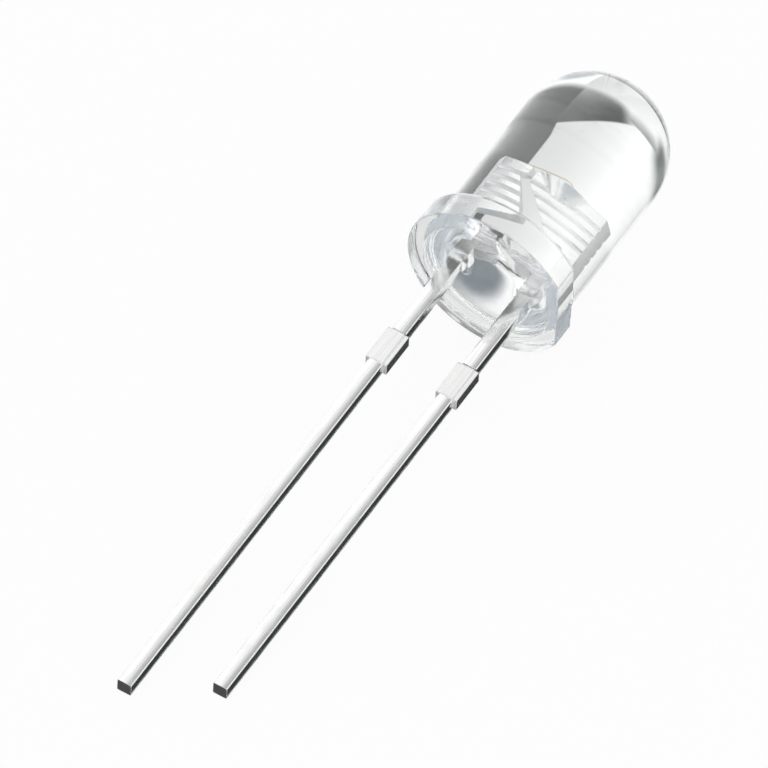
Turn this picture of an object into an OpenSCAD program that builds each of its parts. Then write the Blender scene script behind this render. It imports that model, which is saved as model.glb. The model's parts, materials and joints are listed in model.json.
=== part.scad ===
// Round through-hole light-emitting diode with a clear domed lens, two plain leads and a flat on
// the cathode side of its flange. It lies as it comes to rest on a table, on the rim of its
// flange and on both lead tips. The origin is on the lens axis, in the plane that seats on a board.

/* [Lens] */
// Diameter of the round body
lens_d = 5; // [4.6:0.05:5.4]
// Height from the seating plane to the top of the dome
lens_h = 8.7; // [8:0.1:11]
// Diameter of the flange round the foot
flange_d = 5.8; // [5.7:0.05:6.4]
// Thickness of the flange
flange_t = 1; // [0.8:0.05:1.4]
// Radius of the rounded edge on the dome side of the flange
flange_round = 0.1; // [0.04:0.02:0.14]
// Distance from the lens axis to the flat on the cathode side
flat_x = 2.52; // [2.51:0.01:2.7]
// Diameter of the hollow in the underside
hollow_d = 4.6; // [4.2:0.05:4.8]
// Depth of the hollow in the underside
hollow_h = 0.3; // [0.25:0.05:0.45]
// Radius of the resin that creeps up each lead, measured on the floor of the hollow
creep_r = 0.62; // [0.5:0.02:0.8]
// Height of the resin that creeps up each lead
creep_h = 0.2; // [0.1:0.02:0.24]

/* [Leads] */
// Distance between the centres of the two leads
lead_pitch = 2.54; // [2.4:0.02:2.7]
// Sideways set of the pair of leads from the lens axis, towards the flat
frame_shift = 0.05; // [0:0.05:0.3]
// Width of a lead
lead_w = 0.5; // [0.4:0.02:0.56]
// Thickness of the strip that the leads are stamped from
strip_t = 0.5; // [0.4:0.02:0.56]
// Width of the chamfer that breaks the long edges of a lead
edge_break = 0.035; // [0.02:0.005:0.06]
// Length of the anode lead below the seating plane
anode_len = 19.5; // [17:0.5:28]
// Length by which the cathode lead is shorter
cathode_cut = 1.5; // [1:0.1:2]
// Distance from the seating plane to the middle of the stubs left by the tie bar
stub_drop = 3.95; // [3:0.05:6]
// Length of a stub along its lead
stub_l = 1.35; // [1:0.05:1.8]
// Width over both stubs of one lead
stub_w = 0.76; // [0.66:0.02:0.9]
// Thickness of a stub, pressed a little thinner than the strip
stub_t = 0.44; // [0.36:0.02:0.5]

/* [Post of the anode] */
// Height of the top of the post over the seating plane
post_top = 3.85; // [3.4:0.05:4.4]
// Height of the foot of the post, where it steps out over its lead
post_foot = 2; // [1.7:0.05:2.3]
// Inset of the post from the outer side of its lead
post_inset = 0.28; // [0.1:0.02:0.34]
// Width of the post at its top
post_top_w = 0.46; // [0.4:0.02:0.56]
// Width of the post at its foot
post_foot_w = 0.96; // [0.8:0.02:1]
// Height of the upright edge at the inner end of the foot
foot_edge_h = 0.14; // [0.06:0.02:0.2]
// Drop of the foot's sloping underside from the top of the foot to the lead
foot_drop = 0.56; // [0.4:0.02:0.7]
// Width of the tab at the top of the post that the wire is bonded to
tab_w = 0.14; // [0.06:0.02:0.16]
// Height of that tab
tab_h = 0.4; // [0.2:0.05:0.6]

/* [Anvil of the cathode] */
// Height of the top of the anvil over the seating plane
anvil_top = 3.8; // [3.5:0.05:4.3]
// Height of the shelf under the anvil
anvil_foot = 1.93; // [1.7:0.05:2.2]
// Height of the corner where the side towards the post begins to lean
anvil_shoulder = 3.28; // [3.1:0.02:3.3]
// Distance of the anvil's lower corner from the inner side of its lead
anvil_reach = 0.66; // [0.5:0.02:0.8]
// Width of the slanting gusset between that shelf and the lead
gusset_w = 0.12; // [0.06:0.02:0.2]
// Height of that gusset
gusset_h = 0.26; // [0.1:0.02:0.4]

/* [Reflector cup] */
// Sideways set of the cup from the middle of the two leads
cup_set = 0.15; // [0.05:0.05:0.2]
// Outer diameter of the cup at its rim
cup_d = 1.36; // [1.3:0.02:1.46]
// Height of the tapered outside of the cup
cup_h = 0.56; // [0.5:0.02:0.64]
// Outer diameter at the lower end of the taper
cup_low_d = 0.64; // [0.6:0.02:0.72]
// Diameter of the cup's mouth
cup_mouth_d = 1.12; // [1:0.02:1.16]
// Diameter of the cup's floor
cup_floor_d = 0.6; // [0.56:0.02:0.66]
// Depth of the cup
cup_depth = 0.4; // [0.34:0.02:0.44]

/* [Grooves] */
// Number of grooves that lock the resin to each face of the post and the anvil
groove_count = 4; // [2:1:4]
// Distance from one groove to the next
groove_pitch = 0.36; // [0.3:0.01:0.38]
// Height of the lowest groove over the foot of its post or anvil
groove_start = 0.34; // [0.26:0.02:0.4]
// Width of a groove across its mouth
groove_w = 0.16; // [0.1:0.01:0.2]

/* [Chip and wire] */
// Side of the square chip
chip_side = 0.34; // [0.24:0.02:0.38]
// Thickness of the chip
chip_t = 0.18; // [0.12:0.01:0.22]
// Diameter of the contact on top of the chip
pad_d = 0.13; // [0.1:0.01:0.16]
// Thickness of that contact
pad_t = 0.015; // [0.01:0.005:0.03]
// Diameter of the layer that holds the chip in the cup
bond_d = 0.52; // [0.5:0.01:0.54]
// Thickness of that layer
bond_t = 0.03; // [0.02:0.01:0.05]
// Diameter of the wire
wire_d = 0.03; // [0.02:0.005:0.04]
// Diameter of the ball at the chip end of the wire
ball_d = 0.09; // [0.08:0.01:0.1]
// Height of the pressed ball
ball_h = 0.04; // [0.03:0.01:0.06]
// Height of the straight rise of the wire over the ball
rise_h = 0.3; // [0.2:0.02:0.5]
// Radius of the bend at the top of the rise
bend_r = 0.18; // [0.12:0.01:0.24]
// Diameter of the pressed end of the wire on the post
stitch_d = 0.11; // [0.08:0.01:0.14]
// Thickness of the pressed end
stitch_h = 0.035; // [0.03:0.005:0.04]

/* [Hidden] */
$fn = 96;
// how far a cutting solid runs past the face that it cuts
over = 1;

lens_r = lens_d / 2;
flange_r = flange_d / 2;
hollow_r = hollow_d / 2;
barrel_top = lens_h - lens_r;
cathode_len = anode_len - cathode_cut;

// the middle planes of the leads and of the cup, from the lens axis
anode_x = frame_shift - lead_pitch / 2;
cathode_x = frame_shift + lead_pitch / 2;
cup_x = frame_shift + cup_set;

// the post, from its outer side to its sloping inner side
post_left = anode_x - lead_w / 2 + post_inset;
post_right = post_left + post_top_w;

// the wire rises over the chip, bends back and runs straight down to the post
chip_z = anvil_top - cup_depth + bond_t;
pad_z = chip_z + chip_t;
ball_z = pad_z + pad_t;
bend_z = ball_z + ball_h + rise_h;
bend_x = cup_x - bend_r;
stitch_x = post_left + post_top_w / 2;
wire_end_z = post_top + stitch_h / 2;
run_x = stitch_x - bend_x;
run_z = wire_end_z - bend_z;
run = norm([run_x, run_z]);
// angle of the bend up to where the straight run leaves it, and the length of that run
bend_angle = atan2(run_z, run_x) + 360 * (run_z < 0 ? 1 : 0) - acos(bend_r / run);
straight = sqrt(run ^ 2 - bend_r ^ 2);

// The lowest points at rest are the rim of the flange and, on each lead tip, the lower corner on
// the side of the flat. With the roll r about the lens axis and the lean a of that axis, a tip is
// level with the rim where flange_r = side * sin(r) + strip_t / 2 * cos(r) + length * tan(a).
anode_side = anode_x + lead_w / 2 - edge_break;
roll_in_sin = anode_side + anode_len * lead_pitch / cathode_cut;
roll_in_cos = strip_t / 2;
rest_roll = asin(flange_r / norm([roll_in_sin, roll_in_cos])) - atan2(roll_in_cos, roll_in_sin);
rest_lean = atan(sin(rest_roll) * lead_pitch / cathode_cut);

// Lays the upright diode down on the plane that its rim and lead tips rest on
module laid() {
    rotate([rest_lean - 90, 0, 0]) rotate([0, 0, rest_roll]) children();
}

// Outline of half the lens, revolved about its axis
module lens_half() {
    difference() {
        union() {
            square([lens_r, barrel_top]);
            intersection() {
                translate([0, barrel_top]) circle(r = lens_r);
                square([lens_r, lens_h]);
            }
            square([flange_r - flange_round, flange_t]);
            square([flange_r, flange_t - flange_round]);
            translate([flange_r - flange_round, flange_t - flange_round])
                circle(r = flange_round);
        }
        // the hollow has a flat floor and a rounded wall
        translate([0, -over]) square([hollow_r, over]);
        square([hollow_r - hollow_h, hollow_h]);
        translate([hollow_r - hollow_h, 0]) circle(r = hollow_h);
    }
}

// Resin that creeps up a lead at the floor of the hollow
module creep(x) {
    translate([x, 0, hollow_h - creep_h])
        cylinder(r1 = norm([lead_w, strip_t]) / 2, r2 = creep_r, h = creep_h);
}

// Square bar with chamfered long edges, from z = low to z = high
module lead_bar(x, low, high) {
    a = lead_w / 2;
    b = strip_t / 2;
    c = edge_break;
    translate([x, 0, low]) linear_extrude(height = high - low)
        polygon([[a - c, -b], [a, c - b], [a, b - c], [a - c, b],
                 [c - a, b], [-a, b - c], [-a, c - b], [c - a, -b]]);
}

// Stubs on both sides of a lead, left where the tie bar was cut away
module stub(x) {
    translate([x, 0, -stub_drop]) cube([stub_w, stub_t, stub_l], center = true);
}

// Plate of the strip's thickness, standing on the outline's own x and z
module strip_plate(points) {
    rotate([90, 0, 0]) linear_extrude(height = strip_t, center = true) polygon(points);
}

// Grooves of vee section over both faces of a plate, from x = left to x = right
module grooves(left, right, foot) {
    side = groove_w / sqrt(2);
    for (i = [0 : groove_count - 1], y = [-strip_t / 2, strip_t / 2])
        translate([(left + right) / 2, y, foot + groove_start + i * groove_pitch])
            rotate([45, 0, 0]) cube([right - left, side, side], center = true);
}

module anode_solid() {
    lead_bar(anode_x, -anode_len, post_foot - post_inset);
    stub(anode_x);
    difference() {
        strip_plate([
            [anode_x - lead_w / 2, hollow_h + creep_h],
            [anode_x + lead_w / 2, hollow_h + creep_h],
            [anode_x + lead_w / 2, post_foot - foot_drop],
            [post_left + post_foot_w, post_foot - foot_edge_h],
            [post_left + post_foot_w, post_foot],
            [post_right, post_top - tab_h],
            [post_right + tab_w, post_top - tab_h + tab_w],
            [post_right + tab_w, post_top],
            [post_left, post_top],
            [post_left, post_foot],
            [anode_x - lead_w / 2, post_foot - post_inset]
        ]);
        grooves(post_left - over, post_right + over, post_foot);
    }
}

module cathode_solid() {
    inner = cathode_x - lead_w / 2;
    outer = cathode_x + lead_w / 2;
    lead_bar(cathode_x, -cathode_len, anvil_foot);
    stub(cathode_x);
    difference() {
        union() {
            difference() {
                strip_plate([
                    [inner, hollow_h + creep_h],
                    [outer, hollow_h + creep_h],
                    [outer, anvil_top],
                    [cup_x - cup_d / 2, anvil_top],
                    [cup_x - cup_d / 2, anvil_shoulder],
                    [inner - anvil_reach, anvil_foot],
                    [inner - gusset_w, anvil_foot],
                    [inner, anvil_foot - gusset_h]
                ]);
                grooves(cup_x - cup_d, outer + over, anvil_foot);
            }
            translate([cup_x, 0, anvil_top - cup_h])
                cylinder(d1 = cup_low_d, d2 = cup_d, h = cup_h);
        }
        translate([cup_x, 0, anvil_top - cup_depth])
            cylinder(d1 = cup_floor_d, d2 = cup_mouth_d, h = cup_depth);
    }
}

module bond_solid() {
    translate([cup_x, 0, anvil_top - cup_depth]) cylinder(d = bond_d, h = bond_t);
}

module chip_solid() {
    translate([cup_x, 0, chip_z]) {
        translate([-chip_side / 2, -chip_side / 2, 0]) cube([chip_side, chip_side, chip_t]);
        translate([0, 0, chip_t]) cylinder(d = pad_d, h = pad_t);
    }
}

module wire_solid() {
    translate([cup_x, 0, ball_z]) cylinder(d = ball_d, h = ball_h);
    translate([cup_x, 0, ball_z + ball_h]) cylinder(d = wire_d, h = rise_h);
    translate([bend_x, 0, bend_z]) rotate([90, 0, 0]) rotate_extrude(angle = bend_angle)
        translate([bend_r, 0]) circle(d = wire_d);
    translate([bend_x, 0, bend_z]) rotate([0, -bend_angle, 0]) translate([bend_r, 0, 0])
        cylinder(d = wire_d, h = straight);
    translate([stitch_x, 0, post_top]) cylinder(d = stitch_d, h = stitch_h);
}

module lens() {
    color([0.86, 0.9, 0.9, 0.4]) laid() difference() {
        union() {
            difference() {
                rotate_extrude() lens_half();
                translate([flat_x, -flange_d, -over])
                    cube([flange_d, 2 * flange_d, flange_t + over]);
            }
            creep(anode_x);
            creep(cathode_x);
        }
        anode_solid();
        cathode_solid();
        bond_solid();
        chip_solid();
        wire_solid();
    }
}

module anode_frame() {
    color([0.78, 0.78, 0.77]) laid() anode_solid();
}

module cathode_frame() {
    color([0.78, 0.78, 0.77]) laid() cathode_solid();
}

module bond_layer() {
    color([0.62, 0.62, 0.6]) laid() bond_solid();
}

module chip() {
    color([0.5, 0.5, 0.46]) laid() chip_solid();
}

module bond_wire() {
    color([0.85, 0.65, 0.3]) laid() wire_solid();
}

lens();
anode_frame();
cathode_frame();
bond_layer();
chip();
bond_wire();
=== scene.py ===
import json
import math

import bmesh
import bpy
import numpy as np
from mathutils import Matrix, Vector


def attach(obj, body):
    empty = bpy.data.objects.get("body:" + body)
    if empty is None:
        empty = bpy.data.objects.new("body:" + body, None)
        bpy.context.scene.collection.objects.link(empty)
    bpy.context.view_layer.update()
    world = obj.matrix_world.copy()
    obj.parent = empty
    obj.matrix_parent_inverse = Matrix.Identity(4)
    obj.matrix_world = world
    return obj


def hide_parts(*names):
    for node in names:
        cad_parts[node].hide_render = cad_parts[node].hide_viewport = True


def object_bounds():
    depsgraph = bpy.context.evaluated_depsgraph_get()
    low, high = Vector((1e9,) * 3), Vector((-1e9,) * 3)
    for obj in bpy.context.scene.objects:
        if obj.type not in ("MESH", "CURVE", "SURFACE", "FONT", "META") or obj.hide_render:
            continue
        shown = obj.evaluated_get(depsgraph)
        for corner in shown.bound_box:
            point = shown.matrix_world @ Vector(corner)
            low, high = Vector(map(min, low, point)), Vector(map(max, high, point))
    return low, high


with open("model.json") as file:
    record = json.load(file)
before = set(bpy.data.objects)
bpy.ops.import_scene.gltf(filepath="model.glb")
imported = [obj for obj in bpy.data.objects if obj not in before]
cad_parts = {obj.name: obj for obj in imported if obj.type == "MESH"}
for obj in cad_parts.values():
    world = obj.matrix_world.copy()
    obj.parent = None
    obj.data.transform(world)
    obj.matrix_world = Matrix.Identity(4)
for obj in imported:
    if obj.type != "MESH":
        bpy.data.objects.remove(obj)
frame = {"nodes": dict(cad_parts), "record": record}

mm = 0.001
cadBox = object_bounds()
mounts = {m["name"]: m for m in frame["record"]["mounts"]}

# The diode's own axes as it lies: alongLens points to the dome, acrossLeads to the flat,
# and throughStrip through the thickness of the leads, down towards the floor.
alongLens = Vector(mounts["lens_barrel"]["axis"]).normalized()
throughStrip = -Vector(mounts["seating_rim"]["pos_m"]).normalized()
acrossLeads = throughStrip.cross(alongLens)
laid = Matrix((acrossLeads, throughStrip, alongLens)).transposed()


# meshes

def meshPiece(name, points, faces, material):
    # a closed mesh from points in the diode's own axes, in millimetres, laid down with the part
    turned = np.asarray(points) @ np.array(laid.transposed()) * mm
    mesh = bpy.data.meshes.new(name)
    mesh.from_pydata(turned.tolist(), [], faces)
    work = bmesh.new()
    work.from_mesh(mesh)
    bmesh.ops.remove_doubles(work, verts=work.verts, dist=1e-9)
    bmesh.ops.recalc_face_normals(work, faces=work.faces)
    work.to_mesh(mesh)
    work.free()
    mesh.polygons.foreach_set("use_smooth", np.ones(len(mesh.polygons), bool))
    mesh.materials.append(material)
    piece = bpy.data.objects.new(name, mesh)
    bpy.context.scene.collection.objects.link(piece)
    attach(piece, "root")
    return piece


def arc(cx, cz, radius, start, end, steps):
    # points of a circle about (cx, cz), from one angle in degrees to another
    angle = np.radians(np.linspace(start, end, steps))
    return np.column_stack((cx + radius * np.cos(angle), cz + radius * np.sin(angle)))


def line(a, b, steps):
    # evenly spaced points from a to b, without b
    share = np.linspace(0, 1, steps, endpoint=False)[:, None]
    return np.array(a) + share * (np.array(b) - np.array(a))


# clear resin lens

lensLook = {
    "bodyR": 2.5, "height": 8.7, "flangeR": 2.9, "flangeT": 1.0, "flangeRound": 0.1,
    "flatX": 2.52, "hollowR": 2.3, "hollowH": 0.3, "edgeRound": 0.04, "neckRound": 0.07,
    "leadX": (-1.22, 1.32), "leadHalf": 0.25, "creepH": 0.22, "creepReach": 0.42,
    "columns": 240, "cornerStep": 0.12, "floorRings": 60,
}


def lensProfile(s):
    # Radius and height of the outline, from the middle of the hollow round the rim to the dome.
    # Straight runs join arcs, each center + radius * (cos, sin), with the radii hollowH, edgeRound,
    # flangeRound and neckRound, and bodyR for the dome.
    r, e, k, n = s["bodyR"], s["edgeRound"], s["flangeRound"], s["neckRound"]
    h, hr, fr, ft = s["hollowH"], s["hollowR"], s["flangeR"], s["flangeT"]
    top = s["height"] - r
    return np.vstack((
        line((0, h), (hr - h, h), s["floorRings"]),
        arc(hr - h, 0, h, 90, 12, 10),
        arc(hr + e * 0.9, e, e, 190, 270, 5),
        line((hr + 2 * e, 0), (fr - e, 0), 6),
        arc(fr - e, e, e, -90, 0, 6),
        line((fr, 2 * e), (fr, ft - k), 6),
        arc(fr - k, ft - k, k, 0, 90, 8),
        line((fr - 1.4 * k, ft), (r + n, ft), 5),
        arc(r + n, ft + n, n, 270, 180, 7),
        line((r, ft + 2 * n), (r, top), 16),
        arc(0, top, r, 0, 89.6, 64),
    ))


def lensPoints(s):
    # The outline is turned about the axis. Between the body and the flange its radius is squeezed
    # so that the flange ends on the flat, at flatX / cos(angle). In the hollow the resin climbs
    # each lead by creepH * (1 - distance / creepReach) ^ 2.
    outline = lensProfile(s)
    corner = math.acos(s["flatX"] / s["flangeR"])
    step = math.radians(s["cornerStep"])
    angle = np.linspace(-math.pi, math.pi, s["columns"], endpoint=False)
    angle = angle[np.min(np.abs(np.abs(angle)[:, None] - corner), axis=1) > 2 * step]
    corners = [side * (corner + d) for side in (-1, 1) for d in (-step, 0, step)]
    angle = np.sort(np.concatenate((angle, corners)))
    reach = np.where(np.abs(angle) < corner, s["flatX"] / np.cos(angle), s["flangeR"])
    radius = np.repeat(outline[:, :1], len(angle), axis=1)
    inner = np.where(outline[:, 1:] > s["flangeT"] / 2, s["bodyR"], s["hollowR"])
    share = np.clip((radius - inner) / (s["flangeR"] - inner), 0, 1)
    onFlange = outline[:, 1:] <= s["flangeT"] + 1e-6
    radius = np.where(onFlange & (share > 0), inner + share * (reach - inner), radius)
    x, y = radius * np.cos(angle), radius * np.sin(angle)
    z = np.repeat(outline[:, 1:], len(angle), axis=1)
    floor = np.arange(len(outline))[:, None] < s["floorRings"]
    for leadX in s["leadX"]:
        gapX = np.maximum(np.abs(x - leadX) - s["leadHalf"], 0)
        gapY = np.maximum(np.abs(y) - s["leadHalf"], 0)
        near = np.clip(1 - np.hypot(gapX, gapY) / s["creepReach"], 0, 1)
        z = z - floor * s["creepH"] * near ** 2
    return np.stack((x, y, z), axis=2)


def gridFaces(rows, columns):
    # quads between neighbouring rings, each ring closed on itself
    row, column = np.meshgrid(np.arange(rows - 1), np.arange(columns), indexing="ij")
    nextColumn = (column + 1) % columns
    quads = np.stack((row * columns + column, row * columns + nextColumn,
                      (row + 1) * columns + nextColumn, (row + 1) * columns + column), axis=2)
    return quads.reshape(-1, 4).tolist()


def makeLens(material):
    s = lensLook
    points = lensPoints(s)
    rows, columns = points.shape[:2]
    faces = gridFaces(rows, columns)
    flat = points.reshape(-1, 3)
    # the ring at the middle of the hollow and the one at the top of the dome meet in one point
    top = np.array([[0, 0, s["height"]]])
    ring = (rows - 1) * columns + np.arange(columns)
    faces += np.column_stack((ring, np.roll(ring, -1), np.full(columns, len(flat)))).tolist()
    piece = meshPiece("clear_lens", np.vstack((flat, top)), faces, material)
    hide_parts("lens")
    print("lens made:", len(piece.data.polygons), "faces")


# materials

def addNode(tree, kind, **inputs):
    # a node of one kind, with values given by input name, where _ stands for a space
    node = tree.nodes.new(kind)
    for name, value in inputs.items():
        node.inputs[name.replace("_", " ")].default_value = value
    return node


def mathNode(tree, operation, first, second):
    # one sum of two values, each a number or a socket
    node = tree.nodes.new("ShaderNodeMath")
    node.operation = operation
    for place, value in enumerate((first, second)):
        if isinstance(value, (int, float)):
            node.inputs[place].default_value = value
        else:
            tree.links.new(value, node.inputs[place])
    return node.outputs[0]


def rangeNode(tree, value, start, stop, low, high):
    # value carried smoothly from start..stop to low..high
    node = tree.nodes.new("ShaderNodeMapRange")
    node.interpolation_type = "SMOOTHSTEP"
    tree.links.new(value, node.inputs["Value"])
    for name, number in (("From Min", start), ("From Max", stop), ("To Min", low), ("To Max", high)):
        node.inputs[name].default_value = number
    return node.outputs["Result"]


def mixColor(tree, share, first, second):
    # first blended to second, each a color or a socket
    node = tree.nodes.new("ShaderNodeMix")
    node.data_type = "RGBA"
    tree.links.new(share, node.inputs["Factor"])
    for label, value in (("A", first), ("B", second)):
        socket = [i for i in node.inputs if i.name == label and i.type == "RGBA"][0]
        if isinstance(value, tuple):
            socket.default_value = value
        else:
            tree.links.new(value, socket)
    return [o for o in node.outputs if o.type == "RGBA"][0]


def newGroup(name, inputs, outputs):
    # an empty node group with named sockets, each given as (name, kind, value)
    group = bpy.data.node_groups.new(name, "ShaderNodeTree")
    for direction, sockets in (("INPUT", inputs), ("OUTPUT", outputs)):
        for label, kind, value in sockets:
            socket = group.interface.new_socket(label, in_out=direction, socket_type="NodeSocket" + kind)
            if value is not None:
                socket.default_value = value
    entry = group.nodes.new("NodeGroupInput")
    leave = group.nodes.new("NodeGroupOutput")
    return group, entry, leave


def useGroup(tree, group):
    node = tree.nodes.new("ShaderNodeGroup")
    node.node_tree = group
    return node


def newMaterial(name):
    material = bpy.data.materials.new(name)
    material.use_nodes = True
    nodes = material.node_tree.nodes
    nodes.clear()
    output = nodes.new("ShaderNodeOutputMaterial")
    shader = nodes.new("ShaderNodeBsdfPrincipled")
    material.node_tree.links.new(shader.outputs["BSDF"], output.inputs["Surface"])
    return material, material.node_tree, shader


def diodeAxes():
    # object coordinates as millimetres across the leads, through the strip and along the lens
    group, entry, leave = newGroup("diodeAxes", [("Position", "Vector", None)],
                                   [("Across", "Float", None), ("Through", "Float", None),
                                    ("Along", "Float", None), ("Vector", "Vector", None)])
    links = group.links
    join = group.nodes.new("ShaderNodeCombineXYZ")
    for place, (label, axis) in enumerate((("Across", acrossLeads), ("Through", throughStrip),
                                           ("Along", alongLens))):
        dot = group.nodes.new("ShaderNodeVectorMath")
        dot.operation = "DOT_PRODUCT"
        dot.inputs[1].default_value = axis / mm
        links.new(entry.outputs["Position"], dot.inputs[0])
        links.new(dot.outputs["Value"], leave.inputs[label])
        links.new(dot.outputs["Value"], join.inputs[place])
    links.new(join.outputs[0], leave.inputs["Vector"])
    return group


wearLook = {
    "hairTurn": (0.3, 0.5, 0.9), "hairStretch": (0.35, 9.0, 9.0), "hairScale": 2.6, "hair": (0.66, 0.70),
    "patchScale": 0.6, "patch": (0.50, 0.62), "cloudScale": 1.7, "cloud": (0.42, 0.72),
}


def fineWear():
    # handling marks: thin scratches in patches, and cloudy spots that dull the shine
    s = wearLook
    group, entry, leave = newGroup("fineWear", [("Vector", "Vector", None), ("Scratches", "Float", 1.0),
                                                ("Clouding", "Float", 1.0)],
                                   [("Height", "Float", None), ("Dullness", "Float", None)])
    links = group.links
    stretch = addNode(group, "ShaderNodeMapping", Rotation=s["hairTurn"], Scale=s["hairStretch"])
    hair = addNode(group, "ShaderNodeTexNoise", Scale=s["hairScale"], Detail=2.0)
    patch = addNode(group, "ShaderNodeTexNoise", Scale=s["patchScale"], Detail=2.0)
    cloud = addNode(group, "ShaderNodeTexNoise", Scale=s["cloudScale"], Detail=5.0)
    links.new(entry.outputs["Vector"], stretch.inputs["Vector"])
    links.new(stretch.outputs[0], hair.inputs["Vector"])
    links.new(entry.outputs["Vector"], patch.inputs["Vector"])
    links.new(entry.outputs["Vector"], cloud.inputs["Vector"])
    thin = rangeNode(group, hair.outputs["Fac"], *s["hair"], 0.0, -1.0)
    some = rangeNode(group, patch.outputs["Fac"], *s["patch"], 0.0, 1.0)
    cut = mathNode(group, "MULTIPLY", thin, some)
    links.new(mathNode(group, "MULTIPLY", cut, entry.outputs["Scratches"]), leave.inputs["Height"])
    dull = rangeNode(group, cloud.outputs["Fac"], *s["cloud"], 0.0, 1.0)
    links.new(mathNode(group, "MULTIPLY", dull, entry.outputs["Clouding"]), leave.inputs["Dullness"])
    return group


axesGroup = diodeAxes()
wearGroup = fineWear()


def placed(tree):
    # the diode's own coordinates, for one material
    place = tree.nodes.new("ShaderNodeTexCoord")
    axes = useGroup(tree, axesGroup)
    tree.links.new(place.outputs["Object"], axes.inputs["Position"])
    return axes


def worn(tree, axes):
    # the handling marks, for one material
    wear = useGroup(tree, wearGroup)
    tree.links.new(axes.outputs["Vector"], wear.inputs["Vector"])
    return wear


def bumpNode(tree, height, distance, normal=None):
    bump = addNode(tree, "ShaderNodeBump", Distance=distance * mm)
    tree.links.new(height, bump.inputs["Height"])
    if normal is not None:
        tree.links.new(normal, bump.inputs["Normal"])
    return bump.outputs["Normal"]


resinLook = {
    "color": (0.96, 0.975, 0.97, 1.0), "ior": 1.53, "clear": 0.95, "dullest": 0.03,
    "waveScale": 0.34, "waveHeight": 0.012, "scratches": 0.8, "scratchDepth": 0.0012,
    # the colour on the next line is a painted glow that the resin emits in place of light trapped in it,
    # and the number after it is the bounce depth where that glow starts
    "paintedGlow": (0.295, 0.318, 0.343, 1.0), "glowDepth": 3.5,
}


def resinMaterial():
    s = resinLook
    material, tree, shader = newMaterial("clearResin")
    links = tree.links
    shader.inputs["Base Color"].default_value = s["color"]
    shader.inputs["IOR"].default_value = s["ior"]
    shader.inputs["Transmission Weight"].default_value = s["clear"]
    # painted glow: after more than three glossy bounces the resin emits a fixed grey-blue tone, standing
    # in for light thrown to and fro in the resin, which would end in the pale tone of the room
    shader.inputs["Emission Color"].default_value = s["paintedGlow"]
    material.cycles.emission_sampling = "NONE"
    path = tree.nodes.new("ShaderNodeLightPath")
    links.new(mathNode(tree, "GREATER_THAN", path.outputs["Glossy Depth"], s["glowDepth"]),
              shader.inputs["Emission Strength"])
    axes = placed(tree)
    wear = worn(tree, axes)
    wear.inputs["Scratches"].default_value = s["scratches"]
    # the mould leaves the skin faintly uneven
    wave = addNode(tree, "ShaderNodeTexNoise", Scale=s["waveScale"], Detail=1.0)
    links.new(axes.outputs["Vector"], wave.inputs["Vector"])
    normal = bumpNode(tree, wave.outputs["Fac"], s["waveHeight"])
    normal = bumpNode(tree, wear.outputs["Height"], s["scratchDepth"], normal)
    links.new(normal, shader.inputs["Normal"])
    links.new(mathNode(tree, "MULTIPLY", wear.outputs["Dullness"], s["dullest"]),
              shader.inputs["Roughness"])
    return material


platingLook = {
    "color": (0.86, 0.86, 0.855, 1.0), "dark": (0.60, 0.60, 0.60, 1.0), "rubbed": (0.45, 0.75, 0.0, 0.35),
    "silver": (0.98, 0.98, 0.975, 1.0), "silverMetal": 0.85, "skin": (0.2, 0.6),
    "pairMiddle": 0.05, "halfPitch": 1.27, "crown": 0.42, "edgeRadius": 0.03,
    "lineStretch": (34.0, 34.0, 0.7), "brushHeight": 0.0022, "wearDepth": 0.0015,
    "roughness": 0.10, "dull": 0.18, "stubMiddle": -3.95, "stubHalf": 0.675, "stubDull": 0.8,
    "shearDull": 3.2, "shearReach": (0.01, 0.03), "anvilSide": (1.55, 1.56), "anvilDull": 0.8,
}


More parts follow.
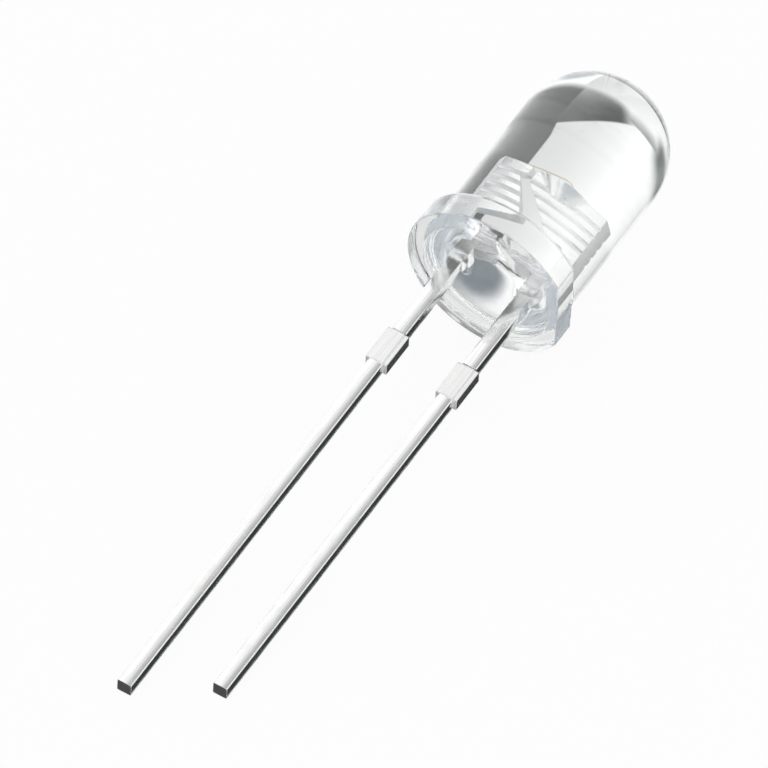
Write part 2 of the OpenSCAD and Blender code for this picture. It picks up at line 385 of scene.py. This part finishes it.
def platingMaterial():
    s = platingLook
    material, tree, shader = newMaterial("tinPlating")
    nodes, links = tree.nodes, tree.links
    axes = placed(tree)
    wear = worn(tree, axes)
    # each lead is crowned outside the resin: its height falls with the square of the distance from
    # its middle
    fromMiddle = mathNode(tree, "ABSOLUTE", mathNode(tree, "SUBTRACT", axes.outputs["Across"],
                                                     s["pairMiddle"]), 0.0)
    side = mathNode(tree, "POWER", mathNode(tree, "SUBTRACT", fromMiddle, s["halfPitch"]), 2.0)
    deep = mathNode(tree, "POWER", axes.outputs["Through"], 2.0)
    crown = mathNode(tree, "MULTIPLY", mathNode(tree, "ADD", side, deep), -s["crown"])
    outside = rangeNode(tree, axes.outputs["Along"], *s["skin"], 1.0, 0.0)
    fromStub = mathNode(tree, "ABSOLUTE", mathNode(tree, "SUBTRACT", axes.outputs["Along"],
                                                   s["stubMiddle"]), 0.0)
    stub = rangeNode(tree, fromStub, s["stubHalf"] - 0.03, s["stubHalf"] + 0.05, 1.0, 0.0)
    # the stubs are pressed flat
    crowned = mathNode(tree, "MULTIPLY", outside, mathNode(tree, "SUBTRACT", 1.0, stub))
    crown = mathNode(tree, "MULTIPLY", crown, crowned)
    # rolling lines run along the strip
    stretch = addNode(tree, "ShaderNodeMapping", Scale=s["lineStretch"])
    lines = addNode(tree, "ShaderNodeTexNoise", Scale=1.0, Detail=3.0)
    links.new(axes.outputs["Vector"], stretch.inputs["Vector"])
    links.new(stretch.outputs[0], lines.inputs["Vector"])
    edge = addNode(tree, "ShaderNodeBevel", Radius=s["edgeRadius"] * mm)
    normal = bumpNode(tree, crown, 1.0, edge.outputs["Normal"])
    normal = bumpNode(tree, lines.outputs["Fac"], s["brushHeight"], normal)
    normal = bumpNode(tree, wear.outputs["Height"], s["wearDepth"], normal)
    links.new(normal, shader.inputs["Normal"])
    # the pressed stubs and the cloudy spots are duller, and the sheared ends of the stubs are matt,
    # and so is the outer side of the anvil in the resin
    fromEnd = mathNode(tree, "ABSOLUTE", mathNode(tree, "SUBTRACT", fromStub, s["stubHalf"]), 0.0)
    sheared = rangeNode(tree, fromEnd, *s["shearReach"], s["shearDull"], 0.0)
    dull = mathNode(tree, "MAXIMUM", mathNode(tree, "MULTIPLY", stub, s["stubDull"]),
                    wear.outputs["Dullness"])
    anvilSide = rangeNode(tree, axes.outputs["Across"], *s["anvilSide"], 0.0, s["anvilDull"])
    anvilSide = mathNode(tree, "MULTIPLY", anvilSide, mathNode(tree, "SUBTRACT", 1.0, outside))
    dull = mathNode(tree, "MAXIMUM", dull, mathNode(tree, "MAXIMUM", sheared, anvilSide))
    rough = mathNode(tree, "MULTIPLY_ADD", dull, s["dull"])
    rough.node.inputs[2].default_value = s["roughness"]
    links.new(rough, shader.inputs["Roughness"])
    # bright tin on the leads, whiter satin silver on the parts cast into the resin
    rubbed = rangeNode(tree, lines.outputs["Fac"], *s["rubbed"])
    tin = mixColor(tree, rubbed, s["color"], s["dark"])
    links.new(mixColor(tree, outside, s["silver"], tin), shader.inputs["Base Color"])
    links.new(rangeNode(tree, outside, 0.0, 1.0, s["silverMetal"], 1.0), shader.inputs["Metallic"])
    return material


pasteLook = {
    "dark": (0.42, 0.42, 0.41, 1.0), "light": (0.80, 0.80, 0.78, 1.0), "metal": 0.7,
    "flakeScale": 70.0, "flakeHeight": 0.004, "spread": (0.1, 0.9), "smooth": 0.28, "rough": 0.62,
}


def pasteMaterial():
    # silver flakes set in resin, each flake with a tone and a slope of its own
    s = pasteLook
    material, tree, shader = newMaterial("silverPaste")
    shader.inputs["Metallic"].default_value = s["metal"]
    axes = placed(tree)
    flake = addNode(tree, "ShaderNodeTexVoronoi", Scale=s["flakeScale"])
    tree.links.new(axes.outputs["Vector"], flake.inputs["Vector"])
    tone = rangeNode(tree, flake.outputs["Color"], *s["spread"], 0.0, 1.0)
    tree.links.new(mixColor(tree, tone, s["dark"], s["light"]), shader.inputs["Base Color"])
    tree.links.new(rangeNode(tree, tone, 0.0, 1.0, s["rough"], s["smooth"]), shader.inputs["Roughness"])
    tree.links.new(bumpNode(tree, flake.outputs["Distance"], s["flakeHeight"]), shader.inputs["Normal"])
    return material


chipLook = {
    "crystal": (0.16, 0.18, 0.15, 1.0), "contact": (0.93, 0.70, 0.36, 1.0), "top": (3.611, 3.613),
    "sawScale": 160.0, "sawStretch": (0.2, 0.2, 1.0), "sawHeight": 0.0015, "spread": (0.35, 0.65),
    "polished": 0.12, "sawn": 0.45,
}


def chipMaterial():
    # a dark crystal with sawn sides, and the gold contact that stands on its top
    s = chipLook
    material, tree, shader = newMaterial("chipCrystal")
    axes = placed(tree)
    contact = rangeNode(tree, axes.outputs["Along"], *s["top"], 0.0, 1.0)
    stretch = addNode(tree, "ShaderNodeMapping", Scale=s["sawStretch"])
    saw = addNode(tree, "ShaderNodeTexNoise", Scale=s["sawScale"], Detail=2.0)
    tree.links.new(axes.outputs["Vector"], stretch.inputs["Vector"])
    tree.links.new(stretch.outputs[0], saw.inputs["Vector"])
    tree.links.new(mixColor(tree, contact, s["crystal"], s["contact"]), shader.inputs["Base Color"])
    tree.links.new(contact, shader.inputs["Metallic"])
    tree.links.new(rangeNode(tree, saw.outputs["Fac"], *s["spread"], s["polished"], s["sawn"]),
                   shader.inputs["Roughness"])
    tree.links.new(bumpNode(tree, saw.outputs["Fac"], s["sawHeight"]), shader.inputs["Normal"])
    return material


wireLook = {
    "gold": (0.95, 0.74, 0.40, 1.0), "worn": (0.80, 0.66, 0.44, 1.0), "spread": (0.35, 0.70),
    "drawScale": 60.0, "drawHeight": 0.0008, "bright": 0.12, "dull": 0.30,
}


def wireMaterial():
    # drawn gold with faint die lines and duller spots
    s = wireLook
    material, tree, shader = newMaterial("goldWire")
    shader.inputs["Metallic"].default_value = 1.0
    axes = placed(tree)
    draw = addNode(tree, "ShaderNodeTexNoise", Scale=s["drawScale"], Detail=3.0)
    tree.links.new(axes.outputs["Vector"], draw.inputs["Vector"])
    share = rangeNode(tree, draw.outputs["Fac"], *s["spread"], 0.0, 1.0)
    tree.links.new(mixColor(tree, share, s["gold"], s["worn"]), shader.inputs["Base Color"])
    tree.links.new(rangeNode(tree, share, 0.0, 1.0, s["bright"], s["dull"]), shader.inputs["Roughness"])
    tree.links.new(bumpNode(tree, draw.outputs["Fac"], s["drawHeight"]), shader.inputs["Normal"])
    return material


def dress(node, material):
    mesh = frame["nodes"][node].data
    mesh.materials.clear()
    mesh.materials.append(material)


# stage

# The studio round the diode, by direction: a white room with dark boards and round patches in it.
# Of the six boards one stands on the right, two on the left and three on the near side.
# Each board is dark from its edge on, holds that tone over part of its depth, then fades to white.
# Two of the patches are slate and show through the resin, two paler ones show only in what is
# mirrored inside the resin, and two show only in the bare leads.
# Only glossy and transmission rays see the studio.
stageLook = {
    "floorHalf": 400.0, "floorGap": 0.01, "floorColor": (0.93, 0.93, 0.93, 1.0), "floorWhite": 0.92,
    "worldColor": (1.0, 1.0, 1.0, 1.0), "worldLight": 0.9,
    "boards": (
        {"facing": (1.0, 0.0, 0.0), "edge": 0.0, "soft": 0.03, "depth": 1.1, "hold": 0.50, "dark": 1.0,
         "toward": (0.0, 0.7, -0.7), "limit": 0.25, "ahead": 0.10},
        {"facing": (0.39, -0.766, -0.516), "edge": 0.0, "soft": 0.03, "depth": 1.3, "hold": 0.0,
         "dark": 1.0, "toward": (0.85, 0.53, 0.0), "limit": -0.36, "ahead": 0.08},
        {"facing": (0.05, -0.971, -0.238), "edge": -0.05, "soft": 0.03, "depth": 0.22, "hold": 0.0,
         "dark": 0.75, "toward": (0.0, 1.0, 0.0), "limit": -0.3, "ahead": -2.0},
        {"facing": (-1.0, 0.0, 0.0), "edge": 0.77, "soft": 0.16, "depth": 0.8, "hold": 0.0,
         "dark": 1.0, "toward": (0.0, -1.0, 0.0), "limit": -0.20, "ahead": -0.13},
        {"facing": (0.0, -1.0, 0.0), "edge": 0.36, "soft": 0.03, "depth": 0.5, "hold": 0.0,
         "dark": 0.9, "toward": (0.0, 0.0, -1.0), "limit": 0.0, "ahead": -2.0},
        {"facing": (-1.0, 0.0, 0.0), "edge": -0.08, "soft": 0.03, "depth": 1.0, "hold": 0.0,
         "dark": 0.42, "toward": (0.0, 0.7, -0.7), "limit": 0.3, "ahead": -2.0},
    ),
    "endSoft": 0.12, "aheadSoft": 0.10,
    "boardColor": (0.04, 0.05, 0.045, 1.0), "roomColor": (1.2, 1.2, 1.2, 1.0),
    "patches": (
        {"facing": (0.42, 0.62, 0.66), "width": (0.93, 0.98), "color": (0.20, 0.235, 0.265, 1.0),
         "seenBy": "resin"},
        {"facing": (0.37, -0.28, -0.89), "width": (0.955, 0.99), "color": (0.30, 0.34, 0.36, 1.0),
         "seenBy": "resin"},
        {"facing": (0.24, 0.65, -0.66), "width": (0.93, 0.98), "color": (0.60, 0.61, 0.605, 1.0),
         "seenBy": "mirror"},
        {"facing": (0.03, -0.77, 0.60), "width": (0.90, 0.97), "color": (0.43, 0.435, 0.44, 1.0),
         "seenBy": "mirror"},
        {"facing": (0.45, 0.10, 0.89), "width": (0.66, 0.95), "color": (0.32, 0.32, 0.325, 1.0),
         "seenBy": "lead"},
        {"facing": (-0.36, -0.42, -0.83), "width": (0.70, 0.92), "color": (0.08, 0.08, 0.085, 1.0),
         "seenBy": "lead"},
    ),
}

cameraLook = {
    "azimuth": 29.319, "elevation": 43.306, "roll": 3.003, "distance": 1035.2,
    "aim": (-1.523, -3.476, -2.383), "lens": 1561.69, "sensor": 36.0, "near": 0.05, "far": 20.0,
}


def makeFloor():
    s = stageLook
    half, low = s["floorHalf"] * mm, cadBox[0].z - s["floorGap"] * mm
    mesh = bpy.data.meshes.new("floor")
    mesh.from_pydata([(-half, -half, low), (half, -half, low), (half, half, low),
                      (-half, half, low)], [], [(0, 1, 2, 3)])
    floor = bpy.data.objects.new("floor", mesh)
    bpy.context.scene.collection.objects.link(floor)
    material = bpy.data.materials.new("paleFloor")
    material.use_nodes = True
    tree = material.node_tree
    nodes, links = tree.nodes, tree.links
    nodes.clear()
    output = nodes.new("ShaderNodeOutputMaterial")
    matt = addNode(tree, "ShaderNodeBsdfDiffuse", Color=s["floorColor"])
    white = addNode(tree, "ShaderNodeEmission", Strength=1.0)
    clear = nodes.new("ShaderNodeBsdfTransparent")
    path = nodes.new("ShaderNodeLightPath")
    seen = nodes.new("ShaderNodeMixShader")
    links.new(mathNode(tree, "MULTIPLY", path.outputs["Is Camera Ray"], s["floorWhite"]),
              seen.inputs["Fac"])
    links.new(matt.outputs[0], seen.inputs[1])
    links.new(white.outputs[0], seen.inputs[2])
    # the sheet is clear to the rays that leave the resin and the metal, so they reach the studio
    through = nodes.new("ShaderNodeMixShader")
    links.new(mathNode(tree, "MAXIMUM", path.outputs["Is Glossy Ray"],
                       path.outputs["Is Transmission Ray"]), through.inputs["Fac"])
    links.new(seen.outputs[0], through.inputs[1])
    links.new(clear.outputs[0], through.inputs[2])
    links.new(through.outputs[0], output.inputs["Surface"])
    mesh.materials.append(material)


def boardBand():
    # How dark a board is in one direction: 0 short of its edge, 1 beyond it, 0 again past its depth.
    # It is 0 too where the direction points along "Toward" by less than the limit, or along Y by less
    # than "Ahead".
    end, front = stageLook["endSoft"], stageLook["aheadSoft"]
    group, entry, leave = newGroup("boardBand", [("Direction", "Vector", None), ("Facing", "Vector", None),
                                                 ("Edge", "Float", 0.0), ("Soft", "Float", 0.03),
                                                 ("Depth", "Float", 0.5), ("Hold", "Float", 0.0),
                                                 ("Toward", "Vector", None), ("Limit", "Float", 0.0),
                                                 ("Ahead", "Float", 0.0)],
                                   [("Mask", "Float", None)])
    links = group.links
    dot = group.nodes.new("ShaderNodeVectorMath")
    dot.operation = "DOT_PRODUCT"
    links.new(entry.outputs["Direction"], dot.inputs[0])
    links.new(entry.outputs["Facing"], dot.inputs[1])
    past = mathNode(group, "SUBTRACT", dot.outputs["Value"], entry.outputs["Edge"])
    begin = rangeNode(group, mathNode(group, "DIVIDE", past, entry.outputs["Soft"]), 0.0, 1.0, 0.0, 1.0)
    share = mathNode(group, "DIVIDE", past, entry.outputs["Depth"])
    left = mathNode(group, "SUBTRACT", 1.0, share)
    fading = mathNode(group, "SUBTRACT", 1.0, entry.outputs["Hold"])
    fade = rangeNode(group, mathNode(group, "DIVIDE", left, fading), 0.0, 1.0, 0.0, 1.0)
    along = group.nodes.new("ShaderNodeVectorMath")
    along.operation = "DOT_PRODUCT"
    links.new(entry.outputs["Direction"], along.inputs[0])
    links.new(entry.outputs["Toward"], along.inputs[1])
    within = rangeNode(group, mathNode(group, "SUBTRACT", along.outputs["Value"], entry.outputs["Limit"]),
                       -end, end, 0.0, 1.0)
    split = group.nodes.new("ShaderNodeSeparateXYZ")
    links.new(entry.outputs["Direction"], split.inputs[0])
    ahead = rangeNode(group, mathNode(group, "SUBTRACT", split.outputs["Y"], entry.outputs["Ahead"]),
                      -front, front, 0.0, 1.0)
    band = mathNode(group, "MULTIPLY", begin, fade)
    links.new(mathNode(group, "MULTIPLY", band, mathNode(group, "MULTIPLY", within, ahead)),
              leave.inputs["Mask"])
    return group


def makeWorld():
    s = stageLook
    world = bpy.data.worlds.new("studio")
    bpy.context.scene.world = world
    world.use_nodes = True
    tree = world.node_tree
    nodes, links = tree.nodes, tree.links
    nodes.clear()
    output = nodes.new("ShaderNodeOutputWorld")
    light = addNode(tree, "ShaderNodeBackground", Color=s["worldColor"], Strength=s["worldLight"])
    room = addNode(tree, "ShaderNodeBackground", Strength=1.0)
    place = nodes.new("ShaderNodeTexCoord")
    band = boardBand()
    # where two boards overlap the darker one counts
    dark = 0.0
    for board in s["boards"]:
        mask = useGroup(tree, band)
        links.new(place.outputs["Generated"], mask.inputs["Direction"])
        for label in ("Facing", "Edge", "Soft", "Depth", "Hold", "Toward", "Limit", "Ahead"):
            mask.inputs[label].default_value = board[label.lower()]
        dark = mathNode(tree, "MAXIMUM", mathNode(tree, "MULTIPLY", mask.outputs[0], board["dark"]), dark)
    color = mixColor(tree, dark, s["roomColor"], s["boardColor"])
    # some patches show through the resin, some only where metal or the skin of the lens mirrors them
    # inside it, and the others only in the bare leads
    path = nodes.new("ShaderNodeLightPath")
    inResin = mathNode(tree, "GREATER_THAN", path.outputs["Transmission Depth"], 0.5)
    mirrored = mathNode(tree, "GREATER_THAN", path.outputs["Glossy Depth"], 0.5)
    bare = mathNode(tree, "LESS_THAN", path.outputs["Transmission Depth"], 0.5)
    seenBy = {"resin": inResin, "mirror": mathNode(tree, "MULTIPLY", inResin, mirrored), "lead": bare}
    for patch in s["patches"]:
        dot = nodes.new("ShaderNodeVectorMath")
        dot.operation = "DOT_PRODUCT"
        dot.inputs[1].default_value = Vector(patch["facing"]).normalized()
        links.new(place.outputs["Generated"], dot.inputs[0])
        start, stop = patch["width"]
        slate = rangeNode(tree, dot.outputs["Value"], start, stop, 0.0, 1.0)
        share = mathNode(tree, "MULTIPLY", slate, seenBy[patch["seenBy"]])
        color = mixColor(tree, share, color, patch["color"])
    links.new(color, room.inputs["Color"])
    white = addNode(tree, "ShaderNodeBackground", Color=s["worldColor"], Strength=1.0)
    seen = nodes.new("ShaderNodeMixShader")
    links.new(path.outputs["Is Camera Ray"], seen.inputs["Fac"])
    links.new(light.outputs[0], seen.inputs[1])
    links.new(white.outputs[0], seen.inputs[2])
    mix = nodes.new("ShaderNodeMixShader")
    links.new(mathNode(tree, "MAXIMUM", path.outputs["Is Glossy Ray"],
                       path.outputs["Is Transmission Ray"]), mix.inputs["Fac"])
    links.new(seen.outputs[0], mix.inputs[1])
    links.new(room.outputs[0], mix.inputs[2])
    links.new(mix.outputs[0], output.inputs["Surface"])


def makeCamera():
    s = cameraLook
    a, e = math.radians(s["azimuth"]), math.radians(s["elevation"])
    back = Vector((math.sin(a) * math.cos(e), -math.cos(a) * math.cos(e), math.sin(e)))
    data = bpy.data.cameras.new("photoCamera")
    data.sensor_width = s["sensor"]
    data.lens = s["lens"]
    data.clip_start = s["near"]
    data.clip_end = s["far"]
    camera = bpy.data.objects.new("photoCamera", data)
    bpy.context.scene.collection.objects.link(camera)
    camera.rotation_mode = "QUATERNION"
    level = (-back).to_track_quat("-Z", "Y")
    turn = Matrix.Rotation(math.radians(s["roll"]), 3, "Z").to_quaternion()
    camera.rotation_quaternion = level @ turn
    camera.location = Vector(s["aim"]) * mm + back * s["distance"] * mm
    bpy.context.scene.camera = camera


plating = platingMaterial()
makeLens(resinMaterial())
dress("anode_frame", plating)
dress("cathode_frame", plating)
dress("bond_layer", pasteMaterial())
dress("chip", chipMaterial())
dress("bond_wire", wireMaterial())
print("materials placed")

makeFloor()
makeWorld()
makeCamera()
bpy.context.scene.view_settings.view_transform = "Standard"
print("stage and camera set")
